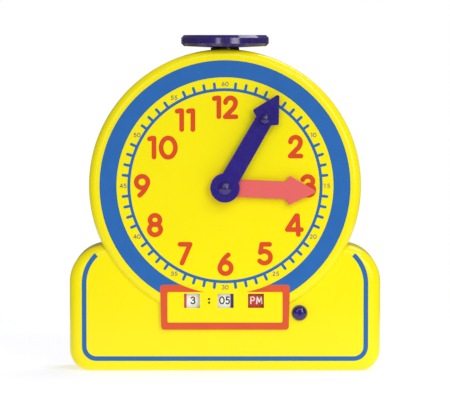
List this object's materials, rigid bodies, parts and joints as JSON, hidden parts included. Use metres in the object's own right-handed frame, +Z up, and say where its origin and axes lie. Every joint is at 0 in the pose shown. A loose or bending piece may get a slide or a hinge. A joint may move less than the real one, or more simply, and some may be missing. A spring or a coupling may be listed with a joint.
{
  "type": "geared teaching clock",
  "caption": "Free-standing teaching clock: round dial on a low base, geared hands turned by a top knob, drum read-out in windows, push-button shutter.",
  "frame": {"origin": "middle of the base's footprint, on the surface that the clock stands on, midway between the base's front and back faces", "axes": "+Z up, the dial faces -Y, +X to the viewer's right"},
  "size_m": [0.2934, 0.0916, 0.3171],
  "materials": {
    "yellow_casing": "semi-gloss moulded",
    "blue_print": "screen print",
    "orange_print": "screen print",
    "border_print": "screen print",
    "grey_print": "screen print",
    "black_print": "screen print",
    "white_print": "screen print",
    "purple_hand": "satin moulded",
    "purple_peg": "gloss moulded",
    "salmon_hand": "satin moulded",
    "purple_knob": "satin moulded",
    "purple_button": "gloss moulded",
    "black_plastic": "satin moulded",
    "white_label": "paper label",
    "pink_drum": "moulded",
    "purple_drum": "moulded",
    "red_drum": "moulded",
    "white_gear": "acetal",
    "grey_plate": "moulded",
    "steel_rod": "drawn rod",
    "zinc_screw": "zinc plated",
    "grey_shutter": "moulded"
  },
  "bodies": {
    "casing": {"front_casing": "yellow_casing", "rear_casing": "yellow_casing", "casing_screws": "zinc_screw", "dial_blue_ring": "blue_print", "dial_minute_track": "blue_print", "dial_minute_numerals": "grey_print", "dial_hour_numerals": "orange_print", "base_line": "blue_print", "readout_border": "border_print", "readout_colon": "black_print", "motion_stud": "steel_rod", "gear_plate": "grey_plate", "gear_plate_screws": "zinc_screw", "lower_shaft_bracket": "grey_plate", "upper_shaft_bracket": "grey_plate", "knob_bushing": "black_plastic", "drum_axle": "steel_rod", "frame_ties": "steel_rod", "readout_left_side": "grey_plate", "readout_right_side": "grey_plate", "readout_screws": "zinc_screw", "button_guide": "grey_plate", "button_spring": "zinc_screw", "lever_pivot": "steel_rod", "lever_bracket": "grey_plate"},
    "knob": {"setting_knob": "purple_knob", "drive_shaft": "steel_rod", "upper_drive_bevel": "white_gear", "lower_drive_bevel": "white_gear"},
    "minute_arbor": {"minute_arbor": "steel_rod", "arbor_bevel": "white_gear", "cannon_pinion": "white_gear", "minute_hand": "purple_hand", "hand_cap": "purple_peg", "hand_peg": "purple_peg"},
    "motion_wheel": {"motion_wheel": "white_gear"},
    "hour_wheel": {"hour_wheel": "white_gear", "hour_hand": "salmon_hand"},
    "layshaft": {"layshaft": "steel_rod", "layshaft_bevel": "white_gear", "layshaft_gear": "white_gear"},
    "minute_drum": {"minute_drum": "purple_drum", "minute_drum_gear": "white_gear", "minute_labels": "white_label", "minute_digits": "black_print"},
    "transfer_shaft": {"transfer_shaft": "steel_rod", "transfer_gear": "white_gear", "hour_transfer_pinion": "white_gear", "half_day_transfer_pinion": "white_gear"},
    "hour_drum": {"hour_drum": "pink_drum", "hour_drum_gear": "white_gear", "hour_labels": "white_label", "hour_digits": "black_print"},
    "half_day_drum": {"half_day_drum": "red_drum", "half_day_drum_gear": "white_gear", "half_day_letters": "white_print"},
    "button": {"time_button": "purple_button"},
    "lever": {"shutter_lever": "white_gear"},
    "shutter": {"shutter": "grey_shutter"}
  },
  "joints": [
    {"name": "knob_spin", "type": "hinge", "parent": "casing", "child": "knob", "pos_m": [0, -0.006, 0.3112], "axis": [0, 0, 1], "continuous": true},
    {"name": "minute_hand_spin", "type": "hinge", "parent": "casing", "child": "minute_arbor", "pos_m": [0, 0, 0.174], "axis": [0, 1, 0], "continuous": true},
    {"name": "motion_wheel_spin", "type": "hinge", "parent": "casing", "child": "motion_wheel", "pos_m": [-0.03, 0, 0.174], "axis": [0, 1, 0], "continuous": true},
    {"name": "hour_hand_spin", "type": "hinge", "parent": "casing", "child": "hour_wheel", "pos_m": [0, 0, 0.174], "axis": [0, 1, 0], "continuous": true},
    {"name": "layshaft_spin", "type": "hinge", "parent": "casing", "child": "layshaft", "pos_m": [0, -0.006, 0.1151], "axis": [1, 0, 0], "continuous": true},
    {"name": "minute_drum_spin", "type": "hinge", "parent": "casing", "child": "minute_drum", "pos_m": [0, -0.00667, 0.0671], "axis": [1, 0, 0], "continuous": true},
    {"name": "transfer_shaft_spin", "type": "hinge", "parent": "casing", "child": "transfer_shaft", "pos_m": [0, 0.00185, 0.03834], "axis": [1, 0, 0], "continuous": true},
    {"name": "hour_drum_spin", "type": "hinge", "parent": "casing", "child": "hour_drum", "pos_m": [0, -0.00667, 0.0671], "axis": [1, 0, 0], "continuous": true},
    {"name": "half_day_drum_spin", "type": "hinge", "parent": "casing", "child": "half_day_drum", "pos_m": [0, -0.00667, 0.0671], "axis": [1, 0, 0], "continuous": true},
    {"name": "button_press", "type": "slide", "parent": "casing", "child": "button", "axis": [0, 1, 0], "range_m": [0, 0.00492], "stiffness_N_per_m": 300, "springref_m": -0.002, "deforming": ["button_spring"]},
    {"name": "lever_swing", "type": "hinge", "parent": "casing", "child": "lever", "pos_m": [0.0603, 0.0013, 0.0459], "axis": [1, 0, 0], "range_deg": [-30, 0]},
    {"name": "shutter_slide", "type": "slide", "parent": "casing", "child": "shutter", "axis": [0, 0, 1], "range_m": [0, 0.01527]}
  ],
  "couplings": [
    {"joint": "minute_hand_spin", "follows": "knob_spin", "ratio": 1},
    {"joint": "motion_wheel_spin", "follows": "knob_spin", "ratio": -0.33333},
    {"joint": "hour_hand_spin", "follows": "knob_spin", "ratio": 0.083333},
    {"joint": "layshaft_spin", "follows": "knob_spin", "ratio": 1},
    {"joint": "minute_drum_spin", "follows": "knob_spin", "ratio": -1},
    {"joint": "transfer_shaft_spin", "follows": "knob_spin", "ratio": 0.25},
    {"joint": "hour_drum_spin", "follows": "knob_spin", "ratio": -0.083333},
    {"joint": "half_day_drum_spin", "follows": "knob_spin", "ratio": -0.041667},
    {"joint": "lever_swing", "follows": "button_press", "rad_per_m": -106.42},
    {"joint": "shutter_slide", "follows": "button_press", "ratio": 3.1037}
  ]
}
